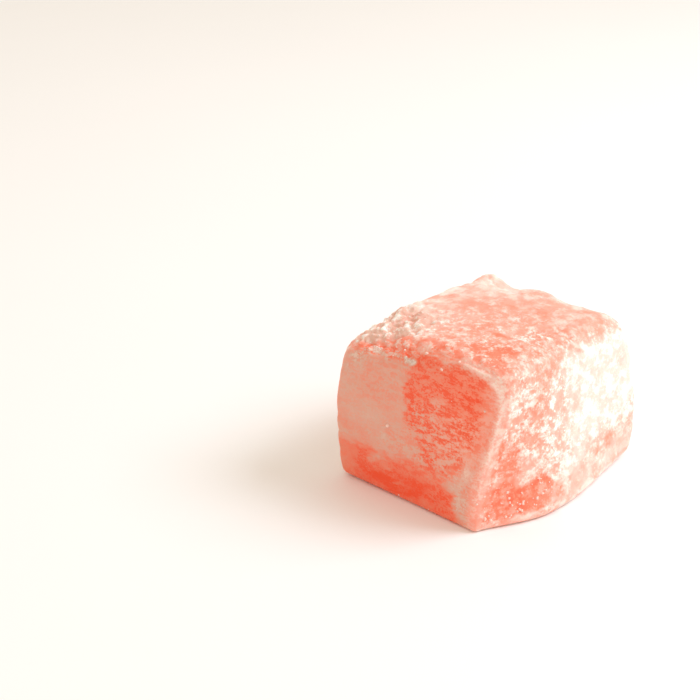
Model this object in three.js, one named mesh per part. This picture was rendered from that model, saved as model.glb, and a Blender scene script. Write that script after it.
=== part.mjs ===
// A cube of Turkish delight: starch jelly, cut with a knife and tossed in fine sugar.
//
// Millimetres, +Z up. The sweet stands on its flat foot at z = 0, with the origin under the
// middle of its bounding box and its longer side along X.
//
// It was cut as a plain box and has slumped since. So the surface is a box with rounded edges
// whose eight corners have each moved to a place of their own. Its walls sag outwards, its top
// has a few broad bumps, and caked sugar makes the skin uneven.

import * as THREE from 'three';
import { mergeVertices } from 'three/addons/utils/BufferGeometryUtils.js';

// ---- Driving dimensions ----

const CUT = new THREE.Vector3(29, 24, 20); // the box as it was cut
const PLACE = new THREE.Vector3(0.22, 1.48, 0); // brings the slumped box over the origin

// Where each corner of the cut box went, and how round it is. "at" gives the corner's side along
// X, Y and Z. Near, right, far and left are the corners in turn, seen from above.
const CORNERS = [
  { name: 'near foot', at: [-1, -1, -1], moved: [-0.6, -0.3, 0], radius: 0.7 },
  { name: 'right foot', at: [1, -1, -1], moved: [1.2, -0.9, 0], radius: 2.6 },
  { name: 'far foot', at: [1, 1, -1], moved: [0.5, 0.5, 0], radius: 1.6 },
  { name: 'left foot', at: [-1, 1, -1], moved: [-2.1, -1.5, 0], radius: 1.3 },
  { name: 'near top', at: [-1, -1, 1], moved: [2.4, -2.2, 1.2], radius: 2.0 },
  { name: 'right top', at: [1, -1, 1], moved: [-0.3, 1.3, 0.3], radius: 3.2 },
  { name: 'far top', at: [1, 1, 1], moved: [-1.5, 0.6, 0], radius: 1.2 },
  { name: 'left top', at: [-1, 1, 1], moved: [-1.5, 0, 0.2], radius: 5.0 },
];

// How far the walls and the top sag out between the corners.
const BELLY = 0.5; // each wall, at half height
const CROWN = 1.0; // the top, in its middle
const LEFT_EDGE_BELLY = 1.3; // the upright edge between the left corners
const RIGHT_EDGE_BELLY = 2.0; // the upright edge between the right corners
const NEAR_EDGE_SWAY = 0.35; // the near upright edge leans in low down and out higher up

// The foot of the front wall has crept out.
const FRONT_SPREAD = 3.4; // how far, where it crept most
const FRONT_SPREAD_AT = -0.29; // where that is along the front, from -1 to 1
const FRONT_SPREAD_TAPER = 1.5; // more keeps the creep closer to that place
const FRONT_SPREAD_FALL = 1.6; // more keeps it closer to the foot

// Broad bumps and dips of the top: their middle, their reach and their height.
const TOP_BUMPS = [
  { name: 'horn at the far corner', x: 13.2, y: 12.0, reach: 2.2, height: 0.6 },
  { name: 'dip beside the horn', x: 12.1, y: 8.0, reach: 2.7, height: -0.7 },
  { name: 'bump on the right edge', x: 13.6, y: 3.3, reach: 3.0, height: 0.6 },
  { name: 'bump on the back edge', x: -5.8, y: 12.5, reach: 3.3, height: 0.9 },
  { name: 'swelling of the left edge', x: -12.7, y: -3.4, reach: 5.0, height: 0.9 },
];

// Relief of the skin: broad dents in the jelly, and rounded lumps of caked sugar.
const DENT_SIZE = 7;
const DENT_DEPTH = 0.3;
const DENT_SEED = 1;
const LUMP_SIZE = 1.9;
const LUMP_HEIGHT = 0.15; // of the thin lumps found all over
const LUMP_SEED = 2;
const FOOT_FADE = 1.5; // the relief dies away over this height above the foot
const RELIEF_TURN = new THREE.Euler(0.5, 0.6, 0.7); // keeps its rows off the sweet's own sides

// Patches where the sugar is caked thicker: their middle, their reach and their lumps' height.
const CRUSTS = [
  { name: 'ridge by the left corner', at: [-9.5, 9.0, 20.5], reach: 5.5, height: 0.75 },
  { name: 'far corner', at: [10.5, 11.0, 20.5], reach: 4.0, height: 0.3 },
  { name: 'right of the near corner', at: [0.5, -8.5, 20.5], reach: 5.0, height: 0.3 },
];

// How finely the surface is divided.
const LENGTH_STEPS = 36;
const DEPTH_STEPS = 30;
const WALL_ROWS = 24;
const FOOT_ROWS = 3; // rows that follow the rounding in under the foot
const FOOT_REACH = 2.6; // how far in from the edge the flat base begins
const EDGE_CROWDING = 0.35; // 0 spaces the lines evenly, more draws them towards the edges

// ---- Helpers ----

const HALF = CUT.clone().multiplyScalar(0.5);
const { clamp, lerp, smoothstep } = THREE.MathUtils;

// 0 up to the middle of a side, then rising smoothly to 1 at its end.
const towards = (t) => smoothstep(t, 0, 1);

// 1 in the middle of a side, falling to 0 at both ends.
const arch = (t) => Math.cos((clamp(t, -1, 1) * Math.PI) / 2);

// 1 at a place, falling smoothly to nothing a few times its reach away.
const fade = (distance, reach) => Math.exp(-((distance / reach) ** 2));

// Numbers from -1 to 1 in equal steps, drawn a little towards both ends.
function crowded(step, steps) {
  const even = (2 * step) / steps - 1;
  return even + (EDGE_CROWDING * Math.sin(Math.PI * even)) / Math.PI;
}

// The share that a corner has in a point of the cube from -1 to 1.
const share = (corner, x, y, z) =>
  ((1 + corner.at[0] * x) * (1 + corner.at[1] * y) * (1 + corner.at[2] * z)) / 8;

// ---- Noise ----

const LATTICE_PRIMES = [374761393, 668265263, 2246822519];
const MIXING_PRIME = 1274126177;
const LARGEST_WORD = 0xffffffff;

// A repeatable number from 0 to 1 for each point of a lattice of whole numbers.
function latticeValue(i, j, k, seed) {
  const [a, b, c] = LATTICE_PRIMES;
  let word = Math.imul(i, a) ^ Math.imul(j, b) ^ Math.imul(k, c) ^ seed;
  word = Math.imul(word ^ (word >>> 13), MIXING_PRIME);
  return ((word ^ (word >>> 16)) >>> 0) / LARGEST_WORD;
}

// Smooth noise from -1 to 1: lattice values, blended between the points of the lattice.
function noise(point, size, seed) {
  const { x, y, z } = point.clone().applyEuler(RELIEF_TURN).divideScalar(size);
  const [i, j, k] = [Math.floor(x), Math.floor(y), Math.floor(z)];
  const [u, v, w] = [towards(x - i), towards(y - j), towards(z - k)];
  const row = (dj, dk) =>
    lerp(latticeValue(i, j + dj, k + dk, seed), latticeValue(i + 1, j + dj, k + dk, seed), u);
  return 2 * lerp(lerp(row(0, 0), row(1, 0), v), lerp(row(0, 1), row(1, 1), v), w) - 1;
}

// ---- The slumped and rounded box ----

// How round the box is at a point of the cube. The square keeps the upright edges sharp until
// close under the top.
function roundness(cube) {
  const height = 2 * ((cube.z + 1) / 2) ** 2 - 1;
  return CORNERS.reduce((sum, c) => sum + share(c, cube.x, cube.y, height) * c.radius, 0);
}

// Rounds the cut box: each point is drawn back to an inner box, then pushed out by the radius.
function rounded(cube) {
  const radius = roundness(cube);
  const cut = cube.clone().multiply(HALF);
  const inset = HALF.clone().subScalar(radius);
  const core = cut.clone().clamp(inset.clone().negate(), inset);
  const outward = cut.sub(core).normalize();
  const unit = core.addScaledVector(outward, radius).divide(HALF);
  return { unit, outward };
}

// Moves a point of the rounded box as its corners moved.
function slumped(unit) {
  const point = unit.clone().multiply(HALF);
  point.z += HALF.z;
  for (const corner of CORNERS) {
    const move = new THREE.Vector3(...corner.moved);
    point.addScaledVector(move, share(corner, unit.x, unit.y, unit.z));
  }
  return point;
}

// How far the front wall has crept out, at a place along it and a height from 0 to 1.
function frontSpread(along, up) {
  const side = along < FRONT_SPREAD_AT ? 1 + FRONT_SPREAD_AT : 1 - FRONT_SPREAD_AT;
  const taper = arch((along - FRONT_SPREAD_AT) / side) ** FRONT_SPREAD_TAPER;
  return FRONT_SPREAD * (1 - up) ** FRONT_SPREAD_FALL * taper;
}

// Lets the walls and the top sag.
function sag(point, unit) {
  const up = (unit.z + 1) / 2;
  const belly = 4 * up * (1 - up);
  const [left, right] = [towards(-unit.x), towards(unit.x)];
  const [front, back] = [towards(-unit.y), towards(unit.y)];
  const sway = -NEAR_EDGE_SWAY * Math.sin(2 * Math.PI * up) * left * front;

  point.x -= (BELLY * arch(unit.y) + LEFT_EDGE_BELLY * back) * belly * left;
  point.x += (BELLY * arch(unit.y) + RIGHT_EDGE_BELLY * front) * belly * right;
  point.y -= (BELLY * arch(unit.x) * belly + frontSpread(unit.x, up)) * front;
  point.y += BELLY * arch(unit.x) * belly * back;
  point.x += sway;
  point.y -= sway;
  point.z += CROWN * arch(unit.x) * arch(unit.y) * towards(unit.z);
}

// Raises the bumps of the top and sinks its dips.
function addBumps(point, unit) {
  for (const bump of TOP_BUMPS) {
    const away = Math.hypot(point.x - bump.x, point.y - bump.y);
    point.z += bump.height * fade(away, bump.reach) * towards(unit.z);
  }
}

// How far the skin stands out at a point. The noise's fold at 0 becomes the crease round a lump.
function relief(point) {
  const lump = Math.abs(noise(point, LUMP_SIZE, LUMP_SEED)) - 0.5;
  let lumpHeight = LUMP_HEIGHT;
  for (const crust of CRUSTS) {
    const away = point.distanceTo(new THREE.Vector3(...crust.at));
    lumpHeight += crust.height * fade(away, crust.reach);
  }
  const dent = noise(point, DENT_SIZE, DENT_SEED);
  return (DENT_DEPTH * dent + lumpHeight * lump) * smoothstep(point.z, 0, FOOT_FADE);
}

// The point of the finished skin for a point of the cube from -1 to 1.
function skinPoint(x, y, z) {
  const { unit, outward } = rounded(new THREE.Vector3(x, y, z));
  const point = slumped(unit);
  sag(point, unit);
  point.add(PLACE);
  addBumps(point, unit);
  point.addScaledVector(outward, relief(point));
  point.z = Math.max(point.z, 0);
  return point;
}

// ---- The mesh ----

// The outline of the cube seen from above, once round and anticlockwise.
function outline() {
  const points = [];
  for (let i = 0; i < LENGTH_STEPS; i++) points.push([crowded(i, LENGTH_STEPS), -1]);
  for (let i = 0; i < DEPTH_STEPS; i++) points.push([1, crowded(i, DEPTH_STEPS)]);
  for (let i = LENGTH_STEPS; i > 0; i--) points.push([crowded(i, LENGTH_STEPS), 1]);
  for (let i = DEPTH_STEPS; i > 0; i--) points.push([-1, crowded(i, DEPTH_STEPS)]);
  return points;
}

// A point of the wall above a point of the outline. The rows below 0 run in under the foot.
function wallPoint([x, y], row) {
  if (row >= 0) return skinPoint(x, y, crowded(row, WALL_ROWS));
  const inset = (-row / FOOT_ROWS) * FOOT_REACH;
  return skinPoint(x * (1 - inset / HALF.x), y * (1 - inset / HALF.y), -1);
}

// Joins a grid of points, given as rows of equal length, by two triangles for each cell.
function gridTriangles(rows) {
  const corners = [];
  for (let r = 0; r + 1 < rows.length; r++) {
    for (let c = 0; c + 1 < rows[r].length; c++) {
      const [a, b] = [rows[r][c], rows[r][c + 1]];
      const [d, e] = [rows[r + 1][c], rows[r + 1][c + 1]];
      corners.push(a, b, e, a, e, d);
    }
  }
  return corners;
}

function wallTriangles(around) {
  const rows = [];
  for (let row = -FOOT_ROWS; row <= WALL_ROWS; row++) {
    const ring = around.map((place) => wallPoint(place, row));
    rows.push([...ring, ring[0]]);
  }
  return gridTriangles(rows);
}

function topTriangles() {
  const rows = [];
  for (let j = 0; j <= DEPTH_STEPS; j++) {
    const row = [];
    for (let i = 0; i <= LENGTH_STEPS; i++) {
      row.push(skinPoint(crowded(i, LENGTH_STEPS), crowded(j, DEPTH_STEPS), 1));
    }
    rows.push(row);
  }
  return gridTriangles(rows);
}

// The flat base inside the lowest row of the wall, facing down.
function baseTriangles(around) {
  const ring = around.map((place) => wallPoint(place, -FOOT_ROWS));
  const triangles = THREE.ShapeUtils.triangulateShape(ring, []);
  return triangles.flatMap(([a, b, c]) => [ring[a], ring[c], ring[b]]);
}

function delightGeometry() {
  const around = outline();
  const corners = [...wallTriangles(around), ...topTriangles(), ...baseTriangles(around)];
  const geometry = mergeVertices(new THREE.BufferGeometry().setFromPoints(corners));
  geometry.computeVertexNormals();
  return geometry;
}

// ---- The object ----

const dustedJelly = new THREE.MeshStandardMaterial({
  color: '#f2a98f',
  roughness: 0.75,
  metalness: 0,
});

const delightCube = new THREE.Mesh(delightGeometry(), dustedJelly);
delightCube.name = 'delight_cube';

const sweet = new THREE.Group();
sweet.add(delightCube);

export default sweet;
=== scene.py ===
# %% [markdown]
# # A cube of Turkish delight
#
# Turkish delight is a stiff jelly of starch and sugar, cut into cubes with a knife and tossed in
# fine sugar so that they don't stick together. Where the sugar lies thick it is white, where it
# is thin the red jelly shines through, and where a neighbour pulled it off the jelly is bare.
#
# The shape is worked out here as one function from a cube to the skin of the sweet. The coat of
# sugar is three things: lumps in that skin, a pattern of colour on it, and loose grains on top.
#
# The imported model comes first, because everything else is placed by it.

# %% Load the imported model
import math

import bpy
import numpy as np
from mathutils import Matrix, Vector


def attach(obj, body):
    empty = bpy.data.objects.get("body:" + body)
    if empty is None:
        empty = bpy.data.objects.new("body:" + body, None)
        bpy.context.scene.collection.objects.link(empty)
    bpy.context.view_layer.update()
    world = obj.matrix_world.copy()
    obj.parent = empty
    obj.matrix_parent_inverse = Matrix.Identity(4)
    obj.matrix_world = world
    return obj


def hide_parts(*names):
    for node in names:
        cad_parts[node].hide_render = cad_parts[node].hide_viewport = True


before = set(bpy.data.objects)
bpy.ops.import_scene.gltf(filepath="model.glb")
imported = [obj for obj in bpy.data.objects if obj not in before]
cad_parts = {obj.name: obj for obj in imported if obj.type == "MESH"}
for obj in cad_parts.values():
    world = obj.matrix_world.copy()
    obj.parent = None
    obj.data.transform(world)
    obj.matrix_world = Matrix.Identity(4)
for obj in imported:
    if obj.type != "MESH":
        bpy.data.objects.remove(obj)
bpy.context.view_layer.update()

MM = 0.001  # the sizes below are in millimetres, Blender's are in metres

# %% [markdown]
# ## The camera
#
# A camera can be placed by typing in its location, but then nobody can tell where it looks. Here
# it is placed by what it looks at: a spot on the table, the direction it looks along, and how far
# away it is. A long lens keeps the picture to the sweet and some of the table.

# %% Camera
LOOKS_AT = Vector((11.67, 40.29, 0)) * MM  # the spot on the table in the middle of the picture
CAMERA_DISTANCE = 246.4 * MM
CAMERA_TURN = math.radians(42.8)  # from looking along +Y towards looking along +X
CAMERA_TILT = math.radians(24.0)  # looking down
SENSOR_WIDTH = 36.0
LENS = 82.3

looking = Vector((
    math.sin(CAMERA_TURN) * math.cos(CAMERA_TILT),
    math.cos(CAMERA_TURN) * math.cos(CAMERA_TILT),
    -math.sin(CAMERA_TILT),
))
camera = bpy.data.objects.new("camera", bpy.data.cameras.new("camera"))
camera.data.sensor_width = SENSOR_WIDTH
camera.data.lens = LENS
camera.data.clip_start = 1 * MM
camera.location = LOOKS_AT - looking * CAMERA_DISTANCE
camera.rotation_euler = looking.to_track_quat("-Z", "Y").to_euler()
bpy.context.collection.objects.link(camera)
bpy.context.scene.camera = camera
print("camera at, mm:", [round(c / MM, 1) for c in camera.location])

# %% [markdown]
# ## The cut box and what became of it
#
# The piece was cut as a plain box. Then it slumped: its corners moved, its walls sagged, and the
# foot of the front wall crept out. A sculptor would push the points of a box by hand. Here each
# of those changes is a named size, so that the same form can be made coarse, as the solid behind
# this model, or fine, as here.

# %% Sizes of the form, in millimetres
CUT = np.array([29.0, 24.0, 20.0])  # the box as it was cut
HALF = CUT / 2
PLACE = np.array([0.22, 1.48, 0.0])  # brings the slumped box over the origin

# Each corner: its side along X, Y and Z, how far it moved, and how round it is.
CORNERS = {
    "near foot": ((-1, -1, -1), (-0.6, -0.3, 0.0), 0.7),
    "right foot": ((1, -1, -1), (1.2, -0.9, 0.0), 2.6),
    "far foot": ((1, 1, -1), (0.5, 0.5, 0.0), 1.6),
    "left foot": ((-1, 1, -1), (-2.1, -1.5, 0.0), 1.3),
    "near top": ((-1, -1, 1), (2.4, -2.2, 1.2), 2.0),
    "right top": ((1, -1, 1), (-0.3, 1.3, 0.3), 3.2),
    "far top": ((1, 1, 1), (-1.5, 0.6, 0.0), 1.2),
    "left top": ((-1, 1, 1), (-1.5, 0.0, 0.2), 5.0),
}
CORNER_SIDE, CORNER_MOVE, CORNER_RADIUS = map(np.array, zip(*CORNERS.values()))

BELLY = 0.5  # how far each wall sags out at half height
CROWN = 1.0  # how far the top stands up in its middle
LEFT_EDGE_BELLY = 1.3  # more sag of the left wall at its back edge
RIGHT_EDGE_BELLY = 2.0  # and the right wall at its front edge
NEAR_EDGE_SWAY = 0.35  # how far the near edge swings to and fro
FRONT_SPREAD = 3.4  # how far the foot of the front wall has crept out
FRONT_SPREAD_AT = -0.29  # where along the wall it has crept furthest
FRONT_SPREAD_TAPER = 1.5  # how fast it dies away to the sides
FRONT_SPREAD_FALL = 1.6  # and upwards

# Bumps and dips of the top: middle along X and Y, reach, height.
TOP_BUMPS = {
    "horn at the far corner": (13.2, 12.0, 2.2, 0.6),
    "dip beside the horn": (12.1, 8.0, 2.7, -0.7),
    "bump on the right edge": (13.6, 3.3, 3.0, 0.6),
    "bump on the back edge": (-5.8, 12.5, 3.3, 0.9),
    "swelling of the left edge": (-12.7, -3.4, 5.0, 0.9),
}

# %% [markdown]
# ## Three small curves
#
# Nearly everything below is made of three curves: one rises smoothly between two values, one
# arches from end to end of a side, and one fades away from a place. They work on whole arrays,
# so a hundred thousand points cost one call.

# %% Curves
def rise(values, start=0.0, end=1.0):
    """0 before start, 1 after end, and between them three squares minus two cubes of the way."""
    way = np.clip((values - start) / (end - start), 0.0, 1.0)
    return way * way * (3.0 - 2.0 * way)


def arch(values):
    """The cosine of a quarter turn times the value: 1 in the middle of a side, 0 at its ends."""
    return np.cos(np.clip(values, -1.0, 1.0) * math.pi / 2)


def fade(distance, reach):
    """The bell curve: e to the power of minus the square of distance over reach."""
    return np.exp(-((distance / reach) ** 2))


# %% [markdown]
# ## Noise that can be repeated
#
# Sugar cakes without any order, so the lumps come from noise. Blender has noise of its own, but
# the solid behind this model was made in another program, and its lumps have to be these lumps.
# So the noise is worked out here by a rule that any program can follow: a number scrambled from
# the whole coordinates of a lattice, blended smoothly between its points. The lattice is turned,
# so that its rows don't run along the sides of the sweet.

# %% Lattice noise
LATTICE_PRIMES = (374761393, 668265263, 2246822519)
MIXING_PRIME = 1274126177
LARGEST_WORD = 0xFFFFFFFF
RELIEF_TURN = (0.5, 0.6, 0.7)  # angles about X, Y and Z


def turn_matrix(x, y, z):
    """The turns about X, Y and Z, multiplied in that order."""
    about_x = np.array([[1, 0, 0], [0, math.cos(x), -math.sin(x)], [0, math.sin(x), math.cos(x)]])
    about_y = np.array([[math.cos(y), 0, math.sin(y)], [0, 1, 0], [-math.sin(y), 0, math.cos(y)]])
    about_z = np.array([[math.cos(z), -math.sin(z), 0], [math.sin(z), math.cos(z), 0], [0, 0, 1]])
    return about_x @ about_y @ about_z


def lattice_value(i, j, k, seed):
    """Whole coordinates times primes, scrambled by exclusive-or and shifts, as 0 to 1."""
    word = np.uint32(seed)
    for coordinate, prime in zip((i, j, k), LATTICE_PRIMES):
        word = word ^ (coordinate.astype(np.uint32) * np.uint32(prime))
    word = (word ^ (word >> np.uint32(13))) * np.uint32(MIXING_PRIME)
    return (word ^ (word >> np.uint32(16))) / LARGEST_WORD


def noise(points, size, seed):
    """Lattice values from -1 to 1, blended along X, Y and Z by the smooth rise."""
    turned = points @ turn_matrix(*RELIEF_TURN).T / size
    cell = np.floor(turned).astype(np.int64)
    share = rise(turned - cell)
    total = 0.0
    for corner in np.ndindex(2, 2, 2):
        weight = np.prod(np.where(corner, share, 1.0 - share), axis=-1)
        i, j, k = np.moveaxis(cell + corner, -1, 0)
        total = total + weight * lattice_value(i, j, k, seed)
    return 2.0 * total - 1.0


print("noise at the origin:", round(float(noise(np.zeros((1, 3)), 1.0, 1)[0]), 4))


# %% [markdown]
# ## From a cube to the skin
#
# A point of a plain cube, with sides from -1 to 1, becomes a point of the skin in four steps. It
# is drawn back to an inner box and pushed out by a radius, which rounds the edges. It moves as
# the corners moved. It sags with its wall. Then the bumps of the top lift it.
#
# The radius isn't the same everywhere: the near edge is still as sharp as the knife left it, and
# the left corner has gone quite round.

# %% The slumped and rounded box
def corner_shares(x, y, z):
    """Each corner's share in a point: the product of 1 plus side times coordinate, over 8."""
    sides = np.stack([x, y, z], axis=-1)[..., None, :] * CORNER_SIDE
    return np.prod(1.0 + sides, axis=-1) / 8.0


def rounded(cube):
    """Clamp to the inner box, take the direction back to the point, go a radius along it."""
    x, y, z = np.moveaxis(cube, -1, 0)
    height = 2.0 * ((z + 1.0) / 2.0) ** 2 - 1.0  # the foot's radius reaches up
    radius = (corner_shares(x, y, height) @ CORNER_RADIUS)[..., None]
    cut = cube * HALF
    core = np.clip(cut, radius - HALF, HALF - radius)
    outward = cut - core
    outward = outward / np.linalg.norm(outward, axis=-1, keepdims=True)
    return (core + outward * radius) / HALF, outward


def front_spread(along, up):
    """An arch along the wall times what is left of the height, each raised to a power."""
    side = np.where(along < FRONT_SPREAD_AT, 1.0 + FRONT_SPREAD_AT, 1.0 - FRONT_SPREAD_AT)
    taper = arch((along - FRONT_SPREAD_AT) / side) ** FRONT_SPREAD_TAPER
    return FRONT_SPREAD * np.maximum(1.0 - up, 0.0) ** FRONT_SPREAD_FALL * taper


def slumped(unit):
    """The rounded box, plus the corners' moves by their shares, plus the sag of each wall."""
    x, y, z = np.moveaxis(unit, -1, 0)
    point = unit * HALF + corner_shares(x, y, z) @ CORNER_MOVE
    up = (z + 1.0) / 2.0
    belly = 4.0 * up * (1.0 - up)
    left, right, front, back = rise(-x), rise(x), rise(-y), rise(y)
    sway = -NEAR_EDGE_SWAY * np.sin(2.0 * math.pi * up) * left * front
    left_sag = (BELLY * arch(y) + LEFT_EDGE_BELLY * back) * belly * left
    right_sag = (BELLY * arch(y) + RIGHT_EDGE_BELLY * front) * belly * right
    front_sag = (BELLY * arch(x) * belly + front_spread(x, up)) * front
    back_sag = BELLY * arch(x) * belly * back
    top_sag = CROWN * arch(x) * arch(y) * rise(z)
    sag = np.stack([right_sag - left_sag + sway, back_sag - front_sag - sway, top_sag], axis=-1)
    return point + sag + PLACE + np.array([0.0, 0.0, HALF[2]])


def top_bumps(point, unit):
    """Bell curves round the middle of each bump, on the top only."""
    height = np.zeros(point.shape[:-1])
    for x, y, reach, bump in TOP_BUMPS.values():
        height += bump * fade(np.hypot(point[..., 0] - x, point[..., 1] - y), reach)
    return height * rise(unit[..., 2])


# %% [markdown]
# ## The relief of the skin
#
# Broad dents belong to the jelly. Lumps are caked sugar: noise folded at 0, which makes rounded
# swellings with a crease between them. They are low all over and high in a few crusts, such as
# the ridge beside the left corner. This is as much relief as the solid behind this model has.

# %% Relief
DENT_SIZE, DENT_DEPTH, DENT_SEED = 7.0, 0.3, 1
LUMP_SIZE, LUMP_HEIGHT, LUMP_SEED = 1.9, 0.15, 2
FOOT_FADE = 1.5  # the relief dies away over this height above the foot

# Patches of thick sugar: middle, reach, height of the lumps.
CRUSTS = {
    "ridge by the left corner": ((-9.5, 9.0, 20.5), 5.5, 0.75),
    "far corner": ((10.5, 11.0, 20.5), 4.0, 0.3),
    "right of the near corner": ((0.5, -8.5, 20.5), 5.0, 0.3),
}


def crust_height(point):
    """The sum of a bell curve round each crust."""
    height = np.zeros(point.shape[:-1])
    for middle, reach, lumps in CRUSTS.values():
        height += lumps * fade(np.linalg.norm(point - middle, axis=-1), reach)
    return height


def relief(point):
    """Dents of plain noise plus lumps of folded noise, dying away towards the foot."""
    lump = np.abs(noise(point, LUMP_SIZE, LUMP_SEED)) - 0.5
    dent = DENT_DEPTH * noise(point, DENT_SIZE, DENT_SEED)
    lumps = (LUMP_HEIGHT + crust_height(point)) * lump
    return (dent + lumps) * rise(point[..., 2], 0.0, FOOT_FADE)


def skin(cube):
    """The skin's point for each point of the cube, with its place on the box and its outward."""
    unit, outward = rounded(cube)
    point = slumped(unit)
    point[..., 2] += top_bumps(point, unit)
    point = point + outward * relief(point)[..., None]
    return point, unit, outward


# %% [markdown]
# ## Where the sugar lies
#
# The coat differs from wall to wall. It could be painted by hand as an image. Here it is laid on
# in patches: each patch is a rectangle on a wall, with round corners and soft, ragged borders,
# and inside it the coat takes the patch's values. Later patches lie over earlier ones.
#
# Two values are kept for each point. Coat is how thick the sugar is: 0 is bare jelly, a half is
# a pink haze, 1 is white. Breakup is how much the thickness varies from spot to spot.
#
# The rectangles lie on the box as it was cut, in millimetres from the middle of its wall, so a
# patch stays where it is when the slump is changed. Three bands follow the rolled edge of the
# left wall: a film inside it, a crest along it, a grittier strip beyond it.

# %% Patches on the top
# On each wall: middle, half size, softness of the border, coat, breakup.
TOP_PATCHES = {  # along X and Y
    "all": ((0, 0), (16, 14), 1, 0.53, 0.29),
    "smooth back": ((2, 8), (16, 5), 3, 0.57, 0.15),
    "thin left": ((-6.8, -2.8), (3.4, 1.6), 2.5, 0.46, 0.3),
    "thin middle": ((0.5, 2), (1.8, 2.6), 2.5, 0.47, 0.2),
    "smooth right": ((8.5, -3), (5, 9), 3, 0.53, 0.19),
    "thin strip": ((6.4, -3.2), (2.4, 3), 2, 0.43, 0.2),
    "pale back": ((4, 10.8), (2.4, 1.4), 1.6, 0.82, 0.16),
    "pale behind middle": ((-4.2, 7), (2, 1.4), 1.6, 0.72, 0.2),
    "pale strip": ((-3.1, 2.8), (1.3, 2.8), 1.6, 0.61, 0.26),
    "pale spot": ((5.2, 5), (1, 0.9), 1.4, 0.66, 0.18),
    "thin back": ((1.1, 7), (1.2, 1.1), 1.4, 0.46, 0.16),
    "pale right edge": ((9.3, -7.4), (1.3, 1.3), 1.4, 0.68, 0.2),
    "worn near corner": ((-9.5, -6.6), (3.2, 3), 2, 0.43, 0.36),
    "middle clump": ((-3.1, -5), (1.3, 1.1), 1, 0.66, 0.36),
    "clump by hole": ((-7.3, -4.7), (1.3, 1.1), 1.2, 0.6, 0.36),
    "front clumps": ((-2.3, -8.4), (2.2, 1.8), 1.6, 0.6, 0.46),
    "front edge": ((-6, -11.2), (7, 0.6), 1.4, 0.5, 0.42),
    "hole": ((-5.2, -5.3), (0.4, 0.6), 0.8, 0.24, 0.1),
    "second hole": ((1, -7.3), (0.9, 0.4), 0.8, 0.38, 0.1),
    "right end": ((13.4, -3), (2.2, 10), 2.5, 0.64, 0.2),
    "far corner": ((11, 7), (3.5, 4), 3, 0.71, 0.15),
    "behind the ridge": ((-2.6, 10.2), (2.8, 2.4), 2.5, 0.88, 0.28),
    "ridge": ((-9.6, 7), (4.4, 5.2), 1.6, 0.69, 0.34),
    "front of the ridge": ((-10.4, 5), (2, 0.8), 1.2, 0.78, 0.36),
    "left edge": ((-13.4, -0.2), (0.9, 4.6), 1.8, 0.42, 0.42),
    "left edge, near end": ((-13.2, -7.6), (1.2, 2.8), 1.6, 0.53, 0.42),
    "crack below ridge": ((-13, 3.4), (0.5, 2.6), 1.6, 0.41, 0.4),
    "left corner": ((-13.2, 9.8), (2.6, 2.8), 1.6, 0.76, 0.34),
}

# %% Patches on the front
FRONT_PATCHES = {  # along X and Z
    "all": ((0, 0), (16, 12), 1, 0.66, 0.32),
    "clumpy left part": ((-9, 3.5), (5.4, 5.8), 2, 0.66, 0.46),
    "white clumps": ((-11, 5.6), (2.4, 2.6), 1.6, 0.68, 0.46),
    "pink above": ((-5.7, 6.8), (2.4, 2.8), 0.8, 0.48, 0.24),
    "pink middle": ((-8, 3.4), (1.6, 1.2), 1.6, 0.54, 0.36),
    "scattered": ((-3, 1), (2.6, 5.6), 3, 0.79, 0.48),
    "thick part": ((6.6, 3.2), (7.6, 5.6), 4, 0.87, 0.28),
    "top edge": ((3, 9.7), (10, 0.7), 1.4, 0.55, 0.26),
    "upper bare patch": ((-11.6, -1.4), (2.6, 2.2), 1.6, 0.41, 0.3),
    "lower bare patch": ((-9.6, -6.9), (4.4, 2.4), 2.2, 0.27, 0.24),
    "its right part": ((-5.6, -7.4), (2.2, 1.2), 1.8, 0.34, 0.2),
    "low haze": ((6, -7), (7.5, 1.4), 3, 0.6, 0.1),
    "right bare spot": ((5.6, -4.9), (1.8, 0.7), 1.6, 0.39, 0.14),
    "pink foot": ((-4.2, -7.2), (2, 1.2), 1.8, 0.36, 0.2),
    "white spot": ((5, -6.6), (0.8, 0.6), 0.8, 0.8, 0.3),
    "white cloud": ((-0.4, -4.7), (2.2, 1.3), 1.4, 0.8, 0.24),
    "white near edge": ((-13.2, 5.4), (1.1, 1.8), 1.2, 0.78, 0.4),
    "pale foot": ((2.2, -9), (2.4, 0.9), 1.2, 0.82, 0.1),
    "foot haze": ((-8.2, -9.4), (3, 0.8), 1, 0.46, 0.18),
    "foot": ((2, -10.2), (12, 1.4), 0.8, 0.78, 0.06),
    "foot, left end": ((-8, -10.3), (6, 1), 1.2, 0.52, 0.14),
}

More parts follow.
